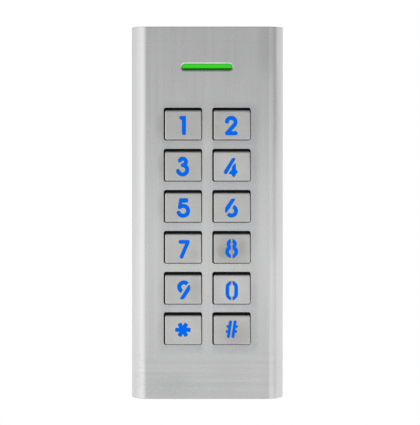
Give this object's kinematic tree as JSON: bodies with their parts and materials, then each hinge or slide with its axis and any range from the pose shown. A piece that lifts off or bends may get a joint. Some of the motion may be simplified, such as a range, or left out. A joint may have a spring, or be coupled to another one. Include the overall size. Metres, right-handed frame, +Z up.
{
  "type": "keypad access reader",
  "caption": "Slim metal wall-mounted access keypad with raised stencil keys that press in, a green status bar, inner electronics and a hook-on steel wall plate.",
  "frame": {"origin": "middle of the wall plate's back face, on the wall plane", "axes": "+Z up along the housing, -Y out of the front towards the user, +Y into the wall, +X to the user's right"},
  "size_m": [0.058, 0.0241, 0.1416],
  "materials": {
    "housing_metal": "satin brushed zinc alloy",
    "key_metal": "satin brushed zinc alloy, slightly warm",
    "legend_blue": "translucent light guide, lit blue",
    "status_green": "translucent light guide, lit green",
    "silicone": "translucent grey silicone",
    "laminate": "green glass-fibre laminate",
    "black_plastic": "fine textured moulding",
    "white_plastic": "plain moulding",
    "led_package": "clear epoxy on white",
    "copper_wire": "enamelled copper winding",
    "capacitor_can": "drawn can",
    "plate_steel": "zinc plated sheet",
    "screw_steel": "stainless",
    "black_rubber": "matt",
    "clear_window": "clear polycarbonate"
  },
  "bodies": {
    "base": {"front_housing": "housing_metal", "status_lens": "status_green", "key_mat": "silicone", "circuit_board": "laminate", "status_led_1": "led_package", "status_led_2": "led_package", "controller_chip": "black_plastic", "lock_relay": "black_plastic", "buzzer": "black_plastic", "supply_capacitor": "capacitor_can", "cable_connector": "white_plastic", "antenna_coil": "copper_wire", "tamper_sensor": "black_plastic", "tamper_window": "clear_window", "board_screw_1": "screw_steel", "board_screw_2": "screw_steel", "board_screw_3": "screw_steel", "board_screw_4": "screw_steel", "rear_cover": "black_plastic", "cover_gasket": "black_rubber", "cable_grommet": "black_rubber", "cover_screw_1": "screw_steel", "cover_screw_2": "screw_steel", "cover_screw_3": "screw_steel", "cover_screw_4": "screw_steel", "wall_plate": "plate_steel", "security_screw": "screw_steel"},
    "button_1": {"key_1": "key_metal", "legend_1": "legend_blue"},
    "button_2": {"key_2": "key_metal", "legend_2": "legend_blue"},
    "button_3": {"key_3": "key_metal", "legend_3": "legend_blue"},
    "button_4": {"key_4": "key_metal", "legend_4": "legend_blue"},
    "button_5": {"key_5": "key_metal", "legend_5": "legend_blue"},
    "button_6": {"key_6": "key_metal", "legend_6": "legend_blue"},
    "button_7": {"key_7": "key_metal", "legend_7": "legend_blue"},
    "button_8": {"key_8": "key_metal", "legend_8": "legend_blue"},
    "button_9": {"key_9": "key_metal", "legend_9": "legend_blue"},
    "button_0": {"key_0": "key_metal", "legend_0": "legend_blue"},
    "button_star": {"key_star": "key_metal", "legend_star": "legend_blue"},
    "button_hash": {"key_hash": "key_metal", "legend_hash": "legend_blue"}
  },
  "joints": [
    {"name": "press_1", "type": "slide", "parent": "base", "child": "button_1", "axis": [0, 1, 0], "range_m": [0, 0.0012], "stiffness_N_per_m": 800, "springref_m": -0.001, "deforming": ["key_mat"]},
    {"name": "press_2", "type": "slide", "parent": "base", "child": "button_2", "axis": [0, 1, 0], "range_m": [0, 0.0012], "stiffness_N_per_m": 800, "springref_m": -0.001, "deforming": ["key_mat"]},
    {"name": "press_3", "type": "slide", "parent": "base", "child": "button_3", "axis": [0, 1, 0], "range_m": [0, 0.0012], "stiffness_N_per_m": 800, "springref_m": -0.001, "deforming": ["key_mat"]},
    {"name": "press_4", "type": "slide", "parent": "base", "child": "button_4", "axis": [0, 1, 0], "range_m": [0, 0.0012], "stiffness_N_per_m": 800, "springref_m": -0.001, "deforming": ["key_mat"]},
    {"name": "press_5", "type": "slide", "parent": "base", "child": "button_5", "axis": [0, 1, 0], "range_m": [0, 0.0012], "stiffness_N_per_m": 800, "springref_m": -0.001, "deforming": ["key_mat"]},
    {"name": "press_6", "type": "slide", "parent": "base", "child": "button_6", "axis": [0, 1, 0], "range_m": [0, 0.0012], "stiffness_N_per_m": 800, "springref_m": -0.001, "deforming": ["key_mat"]},
    {"name": "press_7", "type": "slide", "parent": "base", "child": "button_7", "axis": [0, 1, 0], "range_m": [0, 0.0012], "stiffness_N_per_m": 800, "springref_m": -0.001, "deforming": ["key_mat"]},
    {"name": "press_8", "type": "slide", "parent": "base", "child": "button_8", "axis": [0, 1, 0], "range_m": [0, 0.0012], "stiffness_N_per_m": 800, "springref_m": -0.001, "deforming": ["key_mat"]},
    {"name": "press_9", "type": "slide", "parent": "base", "child": "button_9", "axis": [0, 1, 0], "range_m": [0, 0.0012], "stiffness_N_per_m": 800, "springref_m": -0.001, "deforming": ["key_mat"]},
    {"name": "press_0", "type": "slide", "parent": "base", "child": "button_0", "axis": [0, 1, 0], "range_m": [0, 0.0012], "stiffness_N_per_m": 800, "springref_m": -0.001, "deforming": ["key_mat"]},
    {"name": "press_star", "type": "slide", "parent": "base", "child": "button_star", "axis": [0, 1, 0], "range_m": [0, 0.0012], "stiffness_N_per_m": 800, "springref_m": -0.001, "deforming": ["key_mat"]},
    {"name": "press_hash", "type": "slide", "parent": "base", "child": "button_hash", "axis": [0, 1, 0], "range_m": [0, 0.0012], "stiffness_N_per_m": 800, "springref_m": -0.001, "deforming": ["key_mat"]}
  ]
}
